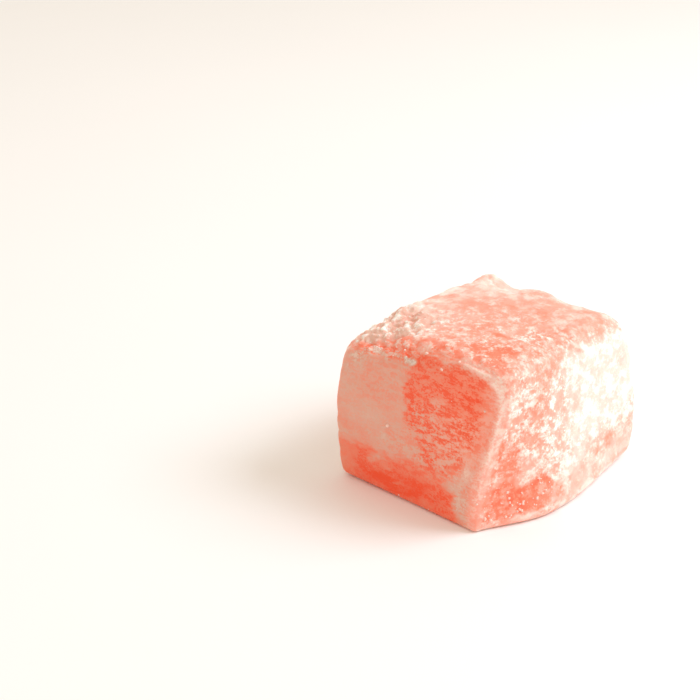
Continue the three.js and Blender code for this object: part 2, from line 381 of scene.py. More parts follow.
# %% Patches on the left wall
LEFT_PATCHES = {  # along Y and Z
    "all": ((0, 0), (14, 12), 1, 0.425, 0.045),
    "left side": ((11.4, -1), (1.2, 6), 2, 0.375, 0.04),
    "greyer film": ((7.4, 3.2), (2.4, 3.4), 2.6, 0.455, 0.05),
    "film, low": ((4, -4.2), (9, 1.6), 2.6, 0.39, 0.05),
    "grey smudge": ((7.6, 7.2), (1.5, 0.7), 1.4, 0.5, 0.24),
    "red blush": ((4.6, 5.8), (2.6, 2.6), 3, 0.395, 0.09),
    "top edge": ((6, 9.6), (5, 1), 1.4, 0.36, 0.4),
    "left corner": ((11.5, 10.4), (3.2, 0.9), 1.2, 0.56, 0.3),
    "red top": ((2.4, 8.4), (2, 0.8), 0.8, 0.31, 0.38),
    "bare": ((-4.6, 5.2), (5.3, 4.9), 0.5, 0.14, 0.21),
    "bare, top end": ((-1, 9.7), (3.8, 1.1), 1, 0.24, 0.34),
    "streaked": ((-4.9, 1.2), (5.2, 2), 1.6, 0.23, 0.34),
    "denser streaks": ((-5, -2.4), (4.9, 2.2), 2, 0.22, 0.34),
    "film below streaks": ((1.2, -2.4), (2.6, 1.8), 1.6, 0.375, 0.12),
    "foot": ((1.9, -8.4), (8.6, 3.8), 2.6, 0.15, 0.13),
    "foot, barest": ((0.6, -8.8), (6.2, 2.3), 2.8, 0.02, 0.08),
    "foot, right end": ((-6.5, -8.5), (2.2, 2.5), 1.6, 0.1, 0.16),
    # partly the foot's own paler coat, partly painted light against the shadow where it meets the
    # table
    "foot, lowest": ((0, -10.8), (10.4, 1.6), 2, 0.19, 0.05),
    "foot, left edge": ((10.4, -6.5), (1.6, 2.2), 1.6, 0.25, 0.05),
    "pale patch": ((-9.7, -6.2), (1.5, 2.2), 1.2, 0.46, 0.16),
    "below pale patch": ((-10.6, -8.4), (1.3, 2), 1.4, 0.47, 0.16),
    "near edge": ((-10.3, 2), (1, 7.4), 1.6, 0.35, 0.14),
    "under top edge": ((-7.6, 9.4), (3.2, 0.8), 1.6, 0.41, 0.2),
    "near edge, low": ((-11.3, -6), (0.8, 4), 1.6, 0.5, 0.12),
    "flake": ((1.1, 8.1), (1, 0.35), 0.5, 0.68, 0.2),
    "corner flake": ((6.3, 9.3), (0.7, 0.3), 0.5, 0.66, 0.2),
}

# %% Patches on the right and back
RIGHT_PATCHES = {  # along Y and Z
    "all": ((0, 0), (14, 12), 1, 0.64, 0.36),
    "thick front edge": ((-9, 2.4), (4, 6), 4, 0.84, 0.3),
    "clumps above": ((3, 6.4), (4, 2.4), 2, 0.74, 0.44),
    "pulled off": ((5.4, 0.8), (3.4, 2.8), 3, 0.42, 0.34),
    "barest spot": ((6.4, 0), (1.6, 1.4), 2.4, 0.28, 0.28),
    "low haze": ((-3, -7), (8, 1.4), 3, 0.6, 0.1),
    "foot": ((0, -10.2), (14, 1.4), 0.8, 0.72, 0.06),
}
BACK_PATCHES = {  # along X and Z
    "all": ((0, 0), (16, 12), 1, 0.6, 0.34),
    "film": ((7, -0.6), (5.4, 5.2), 4, 0.47, 0.14),
    "half bare": ((1.4, 2.2), (3.8, 3.4), 3, 0.4, 0.36),
    "bare": ((2.2, 1.2), (2.2, 1.6), 2.4, 0.24, 0.28),
    "clumps above": ((-5, 6), (6, 2.6), 2.4, 0.76, 0.44),
    "thick part": ((-10, -1), (3, 5), 3, 0.82, 0.28),
    "red foot": ((2, -8.6), (7, 1.6), 2.4, 0.3, 0.16),
    "foot": ((-9, -10.2), (6, 1.4), 0.8, 0.66, 0.06),
}

# %% Walls
# The axis it faces along, the side it is on, the axes that lie in it, its patches.
WALLS = {
    "right": (0, 1, (1, 2), RIGHT_PATCHES),
    "back": (1, 1, (0, 2), BACK_PATCHES),
    "top": (2, 1, (0, 1), TOP_PATCHES),
    "front": (1, -1, (0, 2), FRONT_PATCHES),
    "left": (0, -1, (1, 2), LEFT_PATCHES),
}
FOOT_COAT, FOOT_BREAKUP = 0.55, 0.2
ROUND_THE_EDGE = 1.3  # how far a wall's coat reaches round its edges
EDGE_SWAY = 0.5  # how much of a border's swings that reach follows
PATCH_ROUNDING = 0.25  # radius of a patch's corners, as a part of its smaller half size
print("patches:", {name: len(wall[3]) for name, wall in WALLS.items()})

# %% Borders and bands
# Size and depth of the swings of a border.
FRAYS = ((3.2, 0.6), (1.6, 0.8), (0.8, 0.7), (0.4, 0.4))
FRAY_SEED = 11
FRAY_LEAST, FRAY_MORE = 0.4, 0.4  # how much of them a hard border follows, and a soft one adds
LEFT_WALL = (0.98, 1.0)  # where the left wall starts on the cube
LEFT_STRETCH = 1.8  # there everything is drawn out along the cut

RIM_AT, RIM_ROUNDNESS = 0.955, 7  # the rolled edge of the left wall, as a square on it
RIM_DRIFT = (-0.4, 0.2)  # going down, it drifts to the very edge
RIM_SWAY = 0.35  # how much of a border's swings its coat follows
RIM_SOFT = 0.3  # how soft its borders are
RIM_SIDE, RIM_BACK, RIM_FOOT = (0.9, 1.0), (0.35, 0.6), (-0.9, -0.5)  # where it fades out
# Of each band: how wide it is, where it fades out downwards, its coat and breakup.
ROLLED_WIDTH, ROLLED = 1.5, (0.46, 0.16)
CREST_WIDTH, CREST_FOOT, CREST = 0.46, (-1.2, 0.4), (0.69, 0.18)
EDGE_FOOT, EDGE = (-0.5, 0.0), (0.54, 0.28)  # between the rolled edge and the front wall
CLOUDS = ((3.6, 0.035), (1.8, 0.035))  # size and depth of faint clouds in the coat
CLOUD_SEED = 21

# %% The coat at a point
def swings(place, sizes, seed):
    """The sum of noise of several sizes, each times its own depth."""
    return sum(depth * noise(place, size, seed + i) for i, (size, depth) in enumerate(sizes))


def beyond_rectangle(across, middle, half):
    """Signed distance from a round-cornered rectangle's border: below 0 inside, above 0 outside."""
    radius = PATCH_ROUNDING * min(half)
    beyond = np.abs(across - middle) - half + radius
    outside = np.linalg.norm(np.maximum(beyond, 0.0), axis=-1)
    return outside + np.minimum(beyond.max(axis=-1), 0.0) - radius


def beyond_rim(cube):
    """Distance outwards from a square with rounded corners, drawn on the left wall."""
    y, z = np.maximum(-cube[..., 1], 0.0), np.maximum(cube[..., 2], 0.0)
    out = (y ** RIM_ROUNDNESS + z ** RIM_ROUNDNESS) ** (1.0 / RIM_ROUNDNESS)
    return (out - RIM_AT - (1.0 - RIM_AT) * rise(-cube[..., 2], *RIM_DRIFT)) * HALF[1]


def along_rim(cube):
    """1 along the near edges of the left wall, fading out along the top and above the foot."""
    y, z = -cube[..., 1], cube[..., 2]
    return rise(-cube[..., 0], *RIM_SIDE) * rise(y, *RIM_BACK) * rise(z, *RIM_FOOT)


def rim_bands(cube, stray):
    """For each band along the rolled edge: its share in a point, its coat and its breakup."""
    beyond = beyond_rim(cube) + RIM_SWAY * stray
    here, z = along_rim(cube), cube[..., 2]
    past_rim = rise(beyond, 0.0, RIM_SOFT)
    rolled = rise(beyond, -ROLLED_WIDTH, -RIM_SOFT) * (1.0 - past_rim) * here
    edge = past_rim * here * rise(z, *EDGE_FOOT)
    crest = fade(beyond, CREST_WIDTH) * here * rise(z, *CREST_FOOT)
    return [(rolled, *ROLLED), (edge, *EDGE), (crest, *CREST)]


def coat_of(cube):
    """Each patch, then each band, fades its values in where the point lies inside it."""
    place = cube * HALF
    on_left = rise(-cube[..., 0], *LEFT_WALL)[..., None]
    drawn = place / (1.0 + (LEFT_STRETCH - 1.0) * on_left * np.array([0.0, 1.0, 0.0]))
    stray = swings(drawn, FRAYS, FRAY_SEED)
    coat = np.full(cube.shape[:-1], FOOT_COAT)
    breakup = np.full(cube.shape[:-1], FOOT_BREAKUP)
    for axis, side, lying, patches in WALLS.values():
        depth = HALF[axis] - side * place[..., axis]
        on_wall = 1.0 - rise(depth + EDGE_SWAY * stray, 0.0, ROUND_THE_EDGE)
        for middle, half, soft, patch_coat, patch_breakup in patches.values():
            frayed = beyond_rectangle(place[..., lying], middle, half)
            frayed = frayed + stray * min(1.0, FRAY_LEAST + FRAY_MORE * soft)
            share = on_wall * (1.0 - rise(frayed, -soft / 2, soft / 2))
            coat += (patch_coat - coat) * share
            breakup += (patch_breakup - breakup) * share
    for share, band_coat, band_breakup in rim_bands(cube, stray):
        coat += (band_coat - coat) * share
        breakup += (band_breakup - breakup) * share
    return coat + swings(drawn, CLOUDS, CLOUD_SEED), breakup


# %% [markdown]
# ## Crumbs, cake and the rolled edge
#
# Three more things shape the skin, too fine for the solid behind this model. Crumbs of sugar
# stand up from the film. On the crusts they have caked to larger lumps. And where the knife came
# down, the jelly's edge rolled over into a low rim, just inside the near edges of the left wall.
#
# The coat has thousands of crumbs, too many to place. Here they are domes, one in each cell of a
# lattice, and swirls of noise bend the lattice so that no two look alike. Shade is painted into
# the colour of the walls that face left and of the crusts, and lifts near the near edge.

# %% Sizes of the fine relief
DOME_LEAST, DOME_MORE, DOME_STEEPNESS = 0.45, 0.4, 1.3  # radius in cells, height over radius
CRUMB_SIZE, CRUMB_SEED, CRUMB_HEIGHT = 0.9, 31, 0.17  # low crumbs all over
CRUMB_BREAKUP = (0.0, 0.5)  # highest where the breakup is
CRUMBS_ON_CRUST = 0.9  # added on a crust
CAKED = (0.15, 0.4)  # height of the lumps where a crust starts
CAKE_SIZE, CAKE_SEED = 1.2, 41  # the big lumps of the crusts
CAKE_HEIGHT = 0.65  # their height, as a part of the crust's own
CAKE_WHITE, CAKE_CONTRAST = (0.25, 0.55), 3.0  # where they whiten, and how much more than crumbs
SWIRL_SIZE, SWIRL_SEED = 1.1, 61  # swirls that make all of them uneven
CRUMB_STRAY, CAKE_STRAY = 0.3, 0.55  # and how far they carry them
RIM_REACH, RIM_HEIGHT = 0.45, 0.14  # of the roll on the jelly's edge
FACING_LEFT, FACING_UP = (0.5, 0.95), (0.4, 0.8)  # how far a wall counts as left or as top
SHADE_LIFTING = (-0.1, 0.8)  # from the middle of the left wall to its near edge the painted shade lifts
SHADE_LIFTS_ABOVE = (-0.6, 0.1)  # but not low down
UNSHADED_EDGE = (0.82, 0.94)  # except at the very edge
UNSHADED_CREST = 0.9  # and this far from the crest of the rolled edge
CRUST_SHADE, SHADED_CRUST = 0.8, (0.18, 0.45)  # how much painted shade a crust gets, greying the creases between its lumps, and where it starts


# %% The sugared skin
def domes(points, size, seed):
    """Highest dome near: steepness times radius times 1 less (distance over radius) squared."""
    turned = points @ turn_matrix(*RELIEF_TURN).T / size
    cell = np.floor(turned).astype(np.int64)
    height = np.zeros(points.shape[:-1])
    for step in np.ndindex(3, 3, 3):
        there = cell + step - 1
        i, j, k = np.moveaxis(there, -1, 0)
        drawn = [lattice_value(i, j, k, seed + n) for n in range(4)]
        away = np.linalg.norm(turned - there - np.stack(drawn[:3], axis=-1), axis=-1)
        radius = DOME_LEAST + DOME_MORE * drawn[3]
        dome = DOME_STEEPNESS * radius * (1.0 - (away / radius) ** 2)
        height = np.maximum(height, dome)
    return height


def shade_share(cube, left, crust):
    """Painted shade on left-facing walls unless lifted, on crusts by height: the higher of both."""
    y, z = -cube[..., 1], cube[..., 2]
    lifted = np.maximum(rise(y, *SHADE_LIFTING) * rise(z, *SHADE_LIFTS_ABOVE), rise(y, *UNSHADED_EDGE))
    lifted = np.maximum(lifted, fade(beyond_rim(cube), UNSHADED_CREST) * along_rim(cube))
    return np.maximum(left * (1.0 - lifted), CRUST_SHADE * rise(crust, *SHADED_CRUST))


def sugared_skin(cube):
    """The skin with its crumbs and rim, and everything that the material wants to know."""
    point, _, outward = skin(cube)
    coat, breakup = coat_of(cube)
    swirls = np.stack([noise(point, SWIRL_SIZE, SWIRL_SEED + i) for i in range(3)], axis=-1)
    crumb = domes(point + CRUMB_STRAY * swirls, CRUMB_SIZE, CRUMB_SEED)
    cake = domes(point + CAKE_STRAY * swirls, CAKE_SIZE, CAKE_SEED)
    crust = crust_height(point)
    caked = rise(crust, *CAKED)
    crumbly = rise(breakup, *CRUMB_BREAKUP) + CRUMBS_ON_CRUST * caked
    lift = (crumb - 0.5) * CRUMB_HEIGHT * crumbly + (cake - 0.5) * CAKE_HEIGHT * crust
    roll = fade(beyond_rim(cube) + RIM_REACH, RIM_REACH) * along_rim(cube)
    lift = lift * rise(point[..., 2], 0.0, FOOT_FADE) + RIM_HEIGHT * roll
    point = point + outward * lift[..., None]
    point[..., 2] = np.maximum(point[..., 2], 0.0)
    cake_pattern = (2.0 * cake - 1.0) * rise(crust, *CAKE_WHITE) * CAKE_CONTRAST
    left = rise(-outward[..., 0], *FACING_LEFT)
    return point, outward, {
        "coat": coat,
        "breakup": breakup,
        "pattern": (2.0 * crumb - 1.0) * (1.0 + caked) + cake_pattern,
        "left": left,
        "up": rise(outward[..., 2], *FACING_UP),
        # painted shade: how much of the greyer ramp a point takes
        "moist": shade_share(cube, left, crust),
    }


# %% [markdown]
# ## A mesh from arrays
#
# Every piece ends as a mesh made from an array of points and an array of faces. One function
# does it for all, and takes any values that the material should read from the points.

# %% Mesh from arrays
def make_piece(name, points, faces, values=None):
    """Points in millimetres and faces as rows of point numbers become one smooth object."""
    mesh = bpy.data.meshes.new(name)
    mesh.from_pydata((points * MM).tolist(), [], faces)
    for label, numbers in (values or {}).items():
        layer = mesh.attributes.new(label, "FLOAT", "POINT")
        layer.data.foreach_set("value", np.asarray(numbers, np.float32))
    mesh.shade_smooth()
    mesh.update()
    piece = bpy.data.objects.new(name, mesh)
    bpy.context.collection.objects.link(piece)
    return piece


# %% [markdown]
# ## The body of the sweet
#
# The cube is covered by two grids: one runs once round its walls and in under its foot, the
# other covers the top and shares the walls' last row. That closes the skin with no seam. The
# foot is one flat face. A square of the grid is about a fifth of a millimetre wide, fine enough
# for the lumps and coarse enough to stay light; anything finer is left to the material.

# %% Grids over the cube
LENGTH_STEPS, DEPTH_STEPS, WALL_ROWS = 160, 136, 112
FOOT_ROWS, FOOT_REACH = 8, 2.6
EDGE_CROWDING = 0.35


def crowded(steps):
    """Equal steps from -1 to 1, each moved towards the nearer end by a part of a sine."""
    even = np.linspace(-1.0, 1.0, steps + 1)
    return even + EDGE_CROWDING * np.sin(math.pi * even) / math.pi


def wall_grid(along, across, up):
    """Rows of points round the cube: first in under the foot, then up the walls."""
    one_x, one_y = np.ones(len(along) - 1), np.ones(len(across) - 1)
    x = np.concatenate([along[:-1], one_y, along[:0:-1], -one_y])
    y = np.concatenate([-one_x, across[:-1], one_x, across[:0:-1]])
    inset = np.linspace(FOOT_REACH, 0.0, FOOT_ROWS + 1)[:-1, None]
    under = (x * (1 - inset / HALF[0]), y * (1 - inset / HALF[1]), -1.0)
    foot = np.stack(np.broadcast_arrays(*under), axis=-1)
    wall = np.stack(np.broadcast_arrays(x, y, up[:, None]), axis=-1)
    return np.concatenate([foot, wall])


def body_grid():
    """Points of the cube, and faces of four points each, with one polygon for the foot."""
    along, across, up = crowded(LENGTH_STEPS), crowded(DEPTH_STEPS), crowded(WALL_ROWS)
    walls = wall_grid(along, across, up)
    rows, round_count = walls.shape[:2]
    number = np.arange(rows * round_count).reshape(rows, round_count)
    after = np.roll(number, -1, axis=1)
    wall_faces = np.stack([number[:-1], after[:-1], after[1:], number[1:]], axis=-1)

    last_row = number[-1]  # shared with the top
    n, m = LENGTH_STEPS, DEPTH_STEPS
    on_top = np.empty((m + 1, n + 1), int)
    on_top[0, :n] = last_row[:n]
    on_top[:m, n] = last_row[n:n + m]
    on_top[m, n:0:-1] = last_row[n + m:2 * n + m]
    on_top[m:0:-1, 0] = last_row[2 * n + m:]
    on_top[1:-1, 1:-1] = number.size + np.arange((m - 1) * (n - 1)).reshape(m - 1, n - 1)
    top = np.stack(np.broadcast_arrays(along[1:-1], across[1:-1, None], 1.0), axis=-1)
    around = [on_top[:-1, :-1], on_top[:-1, 1:], on_top[1:, 1:], on_top[1:, :-1]]
    top_faces = np.stack(around, axis=-1)

    cube = np.concatenate([walls.reshape(-1, 3), top.reshape(-1, 3)])
    squares = np.concatenate([wall_faces.reshape(-1, 4), top_faces.reshape(-1, 4)])
    return cube, squares.tolist() + [number[0, ::-1].tolist()]


# %% Body
cube, faces = body_grid()
points, _, coat_values = sugared_skin(cube)
body = make_piece("jelly_cube", points, faces, coat_values)
print("body points:", len(points), "faces:", len(faces))

# %% [markdown]
# ## Arithmetic for materials
#
# A material is a chain of nodes, and node chains are hard to read. This small class wraps the
# output of a node, so that a material can be written as sums: adding two of them adds the node
# that does it.

# %% Shader helpers
class Value:
    """A number that changes over the surface, with the arithmetic that makes Math nodes."""

    def __init__(self, shader, socket):
        self.shader, self.socket = shader, socket

    def math(self, operation, first, second, clamp=False):
        settings = {"operation": operation, "use_clamp": clamp}
        return self.shader.output(0, "ShaderNodeMath", settings, {0: first, 1: second})

    def __add__(self, other):
        return self.math("ADD", self, other)

    def __sub__(self, other):
        return self.math("SUBTRACT", self, other)

    def __rsub__(self, other):
        return self.math("SUBTRACT", other, self)

    def __mul__(self, other):
        return self.math("MULTIPLY", self, other)

    __radd__ = __add__
    __rmul__ = __mul__

    def absolute(self):
        return self.math("ABSOLUTE", self, 0.0)

    def clamped(self):
        return self.math("ADD", self, 0.0, clamp=True)

    def between(self, start, end):
        """0 at start, 1 at end and smooth between, as the rise curve is."""
        return self.shader.output(
            "Result", "ShaderNodeMapRange", {"interpolation_type": "SMOOTHSTEP"},
            {"Value": self, "From Min": start, "From Max": end})


class Shader:
    """One material and its nodes."""

    def __init__(self, name):
        self.material = bpy.data.materials.new(name)
        self.material.use_nodes = True
        self.tree = self.material.node_tree
        self.tree.nodes.clear()

    def node(self, kind, settings=None, inputs=None):
        """Adds a node, sets its settings, then fills or links its sockets."""
        made = self.tree.nodes.new(kind)
        for name, setting in (settings or {}).items():
            if name == "stops":
                self.set_stops(made.color_ramp, setting)
            else:
                setattr(made, name, setting)
        for name, value in (inputs or {}).items():
            if isinstance(value, Value):
                self.tree.links.new(value.socket, made.inputs[name])
            else:
                made.inputs[name].default_value = value
        return made

    @staticmethod
    def set_stops(ramp, stops):
        while len(ramp.elements) < len(stops):
            ramp.elements.new(1.0)
        for element, (position, colour) in zip(ramp.elements, stops):
            element.position = position
            element.color = (*colour, 1.0)

    def output(self, name, kind, settings=None, inputs=None):
        """Adds a node and gives its output of this name."""
        return Value(self, self.node(kind, settings, inputs).outputs[name])

    def attribute(self, name):
        return self.output("Fac", "ShaderNodeAttribute", {"attribute_name": name})

    def place(self, stretch=(1.0, 1.0, 1.0), turn=(0.0, 0.0, 0.0)):
        """Object coordinates in millimetres, turned back and divided by the stretch."""
        here = self.output("Object", "ShaderNodeTexCoord")
        scale = [s * MM for s in stretch]
        return self.output("Vector", "ShaderNodeMapping", {"vector_type": "TEXTURE"}, {
            "Vector": here, "Rotation": turn, "Scale": scale})

    def noise(self, place, size, detail=2.0, roughness=0.5):
        """Blender's noise, whose swellings are about one size across, from 0 to 1."""
        return self.output("Fac", "ShaderNodeTexNoise", None, {
            "Vector": place, "Scale": 1.0 / size, "Detail": detail, "Roughness": roughness})

    def lines(self, place, size, thinness):
        """1 along the lines where the noise passes its middle, 0 away from them."""
        away = (self.noise(place, size) - 0.5).absolute()
        return 1.0 - (away * thinness).clamped()

    def dots(self, place, size, edge=(0.1, 0.5), brightness=(0.3, 1.0)):
        """One soft round dot in each cell, some bright and some faint."""
        cells = self.node("ShaderNodeTexVoronoi", None, {"Vector": place, "Scale": 1.0 / size})
        away, colour = (Value(self, cells.outputs[name]) for name in ("Distance", "Color"))
        drawn = self.output("Red", "ShaderNodeSeparateColor", None, {"Color": colour})
        return (1.0 - away.between(*edge)) * drawn.between(*brightness)

    def ramp(self, factor, stops):
        return self.output("Color", "ShaderNodeValToRGB", {"stops": stops}, {"Fac": factor})

    def mix_colours(self, factor, first, second):
        inputs = {0: factor, 6: first, 7: second}
        return self.output(2, "ShaderNodeMix", {"data_type": "RGBA"}, inputs)

    def bump(self, height, strength, distance):
        return self.output("Normal", "ShaderNodeBump", None, {
            "Strength": strength, "Distance": distance * MM, "Height": height})

    def finish(self, **sockets):
        """The Principled BSDF with these sockets, and the output node."""
        inputs = {name.replace("_", " "): value for name, value in sockets.items()}
        surface = self.output("BSDF", "ShaderNodeBsdfPrincipled", None, inputs)
        self.node("ShaderNodeOutputMaterial", None, {"Surface": surface})
        return self.material


# %% [markdown]
# ## Jelly under sugar
#
# The colour of the body follows the thickness of the sugar. Bare jelly is a deep orange red, a
# thin film turns it pink, and thick sugar is nearly white. A second ramp, greyer and duller, is
# painted shade, mixed in on the walls that face left, away from the lamp, and in the crusts.
#
# The coat of the patches is smooth, so noise breaks it up, by as much as the breakup says. The
# walls get crisp clumps, the top clumps that lie slantwise, or soft clouds where it is smooth.
# Creases run through them. The left wall gets smears and veins along the way the knife went.
#
# Light goes into jelly and comes out again beside where it went in. Subsurface scattering does
# that, furthest for red.

# %% Colours of the coat
JELLY = (0.975, 0.095, 0.028)
WET_JELLY = (0.99, 0.25, 0.15)
PINK = (0.97, 0.455, 0.36)
DUSTED = (0.99, 0.72, 0.63)
# Greyer copies of the colours above, for painted shade
SHADED_JELLY = (0.93, 0.25, 0.155)
SHADED_PINK = (0.775, 0.455, 0.36)
SHADED_DUSTED = (0.88, 0.68, 0.58)
SUGAR = (0.97, 0.92, 0.87)
DRY = [(0.0, JELLY), (0.25, WET_JELLY), (0.5, PINK), (0.75, DUSTED), (1.0, SUGAR)]
SHADED_RAMP = [(0.0, JELLY), (0.25, SHADED_JELLY), (0.5, SHADED_PINK), (0.75, SHADED_DUSTED), (1.0, SUGAR)]
JELLY_ROUGHNESS, SUGAR_ROUGHNESS = 0.42, 0.87

# %% How the coat is broken up
SLANT, ALONG_THE_CUT = (0.0, 0.0, -0.75), (0.05, 0.0, 0.0)  # turns, in radians
SMOOTH_TOP = (0.32, 0.18)  # from this breakup to this the clumps on the top become clouds
# How strongly each noise breaks up the coat of the walls and the top.
WALL_CLUMPS, TOP_CLUMPS, TOP_CLOUDS, DOTS = 5.8, 4.2, 4.5, 1.5
GRIT, CREASES, PATTERN = (2.0, 2.0), (0.6, 0.6), (0.15, 0.1)  # on a wall, and added on the top
SMEARS, VEINS, SMEARED_GRIT = 6.0, 0.5, 2.0  # on the left wall
USUAL_DOTS, USUAL_VEINS = 0.3, 0.25  # about their means
BORDER = 0.65  # the lower, the harder the border between thick and thin
THIN_SHARE, BROKEN = 0.45, 1.15  # how much is thin, and how far thick and thin differ
SPRINKLED_DOTS, SPRINKLED_GRIT, DUST = 0.2, 0.5, 0.12  # laid over that
COAT_RISE, DOT_RISE = 0.7, 0.5  # how far they rise in the bump


def speckles(shader, read, grit, dots):
    """Clumps or clouds, plus breakup times grit, dots and creases, plus the skin's pattern."""
    up, slanted = read["up"], shader.place(stretch=(1.0, 1.35, 1.0), turn=SLANT)
    crisp = shader.noise(shader.place(stretch=(1.3, 1.0, 1.0)), 1.6, detail=4.0, roughness=0.76)
    lumpy = shader.noise(slanted, 1.3, detail=3.0, roughness=0.75)
    soft = shader.noise(slanted, 1.7, detail=3.0, roughness=0.55)
    smooth = read["breakup"].between(*SMOOTH_TOP)
    on_top = (lumpy - 0.5) * TOP_CLUMPS * (1.0 - smooth) + (soft - 0.5) * TOP_CLOUDS * smooth
    clumps = (crisp - 0.5) * WALL_CLUMPS * (1.0 - up) + on_top * up
    gritty, creased, patterned = [up * added + base for base, added in (GRIT, CREASES, PATTERN)]
    creases = shader.lines(shader.place(), 2.4, thinness=18.0)
    fine = (grit - 0.5) * gritty + (dots - USUAL_DOTS) * DOTS - creases * creased
    return clumps + fine * read["breakup"] + read["pattern"] * patterned


def smears(shader, grit):
    """Smears and thin veins, drawn out along the cut, and grit."""
    drawn = shader.place(stretch=(1.0, 2.2, 1.0), turn=ALONG_THE_CUT)
    long_drawn = shader.place(stretch=(1.0, 4.0, 1.0), turn=ALONG_THE_CUT)
    smear = shader.noise(drawn, 0.75, detail=3.0, roughness=0.85)
    veins = shader.lines(long_drawn, 1.3, thinness=16.0)
    return (smear - 0.5) * SMEARS + (veins - USUAL_VEINS) * VEINS + (grit - 0.5) * SMEARED_GRIT


def jelly_under_sugar():
    """The coat plus what breaks it up is the thickness, which is looked up in both ramps."""
    shader = Shader("jelly_under_sugar")
    read = {name: shader.attribute(name) for name in coat_values}
    left, breakup = read["left"], read["breakup"]
    grit = shader.noise(shader.place(), 0.28, roughness=0.7)
    dots = shader.dots(shader.place(), 0.42) + shader.dots(shader.place(), 0.75)

    swinging = speckles(shader, read, grit, dots) * (1.0 - left) + smears(shader, grit) * left
    broken = (swinging.between(-BORDER, BORDER) - THIN_SHARE) * breakup * BROKEN
    sprinkled = (dots * SPRINKLED_DOTS + (grit - 0.5) * SPRINKLED_GRIT) * (1.0 - left) * breakup
    dusty = (grit - 0.5) * left * DUST
    thickness = (read["coat"] + broken + sprinkled + dusty).clamped()

    # the second ramp is painted shade, mixed in where the skin says shade is painted
    colours = shader.ramp(thickness, DRY), shader.ramp(thickness, SHADED_RAMP)
    dull = thickness.between(0.0, 0.5) * (SUGAR_ROUGHNESS - JELLY_ROUGHNESS)
    height = thickness * COAT_RISE + (grit + dots * DOT_RISE) * breakup
    return shader.finish(
        Base_Color=shader.mix_colours(read["moist"], *colours),
        Roughness=dull + JELLY_ROUGHNESS,
        Normal=shader.bump(height, strength=0.5, distance=0.12),
        Subsurface_Weight=0.15,
        Subsurface_Radius=(1.0, 0.35, 0.2),
        Subsurface_Scale=0.8 * MM,
        Specular_IOR_Level=0.3)


body.data.materials.append(jelly_under_sugar())
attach(body, "root")
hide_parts("delight_cube")
print("nodes in its material:", len(body.data.materials[0].node_tree.nodes))

# %% [markdown]
# ## Loose grains
#
# Under a lens the coat is grains, and where it is thin each of them shows. A particle system
# would scatter them, but it doesn't survive export. So they are one mesh: a small ball of a few
# dozen faces, copied by arrays, with each copy squashed, turned and dented differently.

# %% Balls from arrays
SQUASH = (0.65, 1.2)  # the least and the most that a copy is stretched along each axis


def ball(rings, sides):
    """Unit sphere by two angles: rings from pole to pole, sides round it, closed at both poles."""
    down = np.linspace(0.0, math.pi, rings + 1)[1:-1, None]
    turn = np.linspace(0.0, 2 * math.pi, sides, endpoint=False)[None, :]
    row = (np.sin(down) * np.cos(turn), np.sin(down) * np.sin(turn), np.cos(down))
    rows = np.stack(np.broadcast_arrays(*row), axis=-1)
    points = np.concatenate([[[0.0, 0.0, 1.0]], rows.reshape(-1, 3), [[0.0, 0.0, -1.0]]])
    number = 1 + np.arange((rings - 1) * sides).reshape(rings - 1, sides)
    after = np.roll(number, -1, axis=1)
    top = np.stack([np.zeros(sides, int), number[0], after[0]], axis=-1)
    bottom = np.stack([after[-1], number[-1], np.full(sides, len(points) - 1)], axis=-1)
    upper = np.stack([number[:-1], number[1:], after[1:]], axis=-1).reshape(-1, 3)
    lower = np.stack([number[:-1], after[1:], after[:-1]], axis=-1).reshape(-1, 3)
    return points, np.concatenate([top, upper, lower, bottom])


def random_turns(random, count):
    """Random unit quaternions, written out as rotation matrices."""
    q = random.normal(size=(count, 4))
    w, x, y, z = (q / np.linalg.norm(q, axis=1, keepdims=True)).T
    rows = [
        [1 - 2 * (y * y + z * z), 2 * (x * y - w * z), 2 * (x * z + w * y)],
        [2 * (x * y + w * z), 1 - 2 * (x * x + z * z), 2 * (y * z - w * x)],
        [2 * (x * z - w * y), 2 * (y * z + w * x), 1 - 2 * (x * x + y * y)],
    ]
    return np.moveaxis(np.array(rows), -1, 0)


def scattered_balls(random, middles, radii, rings, sides, dents):
    """Copies of the ball: dented, squashed, turned, sized and moved."""
    shape, triangles = ball(rings, sides)
    count = len(middles)
    dented = shape * (1.0 + dents * random.normal(size=(count, len(shape), 1)))
    squashed = dented * random.uniform(*SQUASH, size=(count, 1, 3))
    turned = np.einsum("nij,nvj->nvi", random_turns(random, count), squashed)
    points = turned * radii[:, None, None] + middles[:, None, :]
    faces = triangles[None] + (np.arange(count) * len(shape))[:, None, None]
    return points.reshape(-1, 3), faces.reshape(-1, 3)


def drawn_sizes(random, count, sizes, rarity):
    """Between the smallest and the largest; the higher the rarity, the fewer large ones."""
    smallest, largest = sizes
    return smallest + (largest - smallest) * random.uniform(size=count) ** rarity


# %% Scattering over the skin
def scattered_cube(random, tries):
    """Random points of the cube's top and walls, as many on each as its area asks for."""
    length, depth, height = CUT
    area = np.array([length * depth] + [length * height] * 2 + [depth * height] * 2)
    side = random.choice(len(area), size=tries, p=area / area.sum())
    a, b = random.uniform(-1, 1, size=(2, tries))
    one = np.ones(tries)
    faces = [(a, b, one), (a, -one, b), (a, one, b), (-one, a, b), (one, a, b)]
    return np.choose(side[:, None], [np.stack(face, axis=-1) for face in faces])


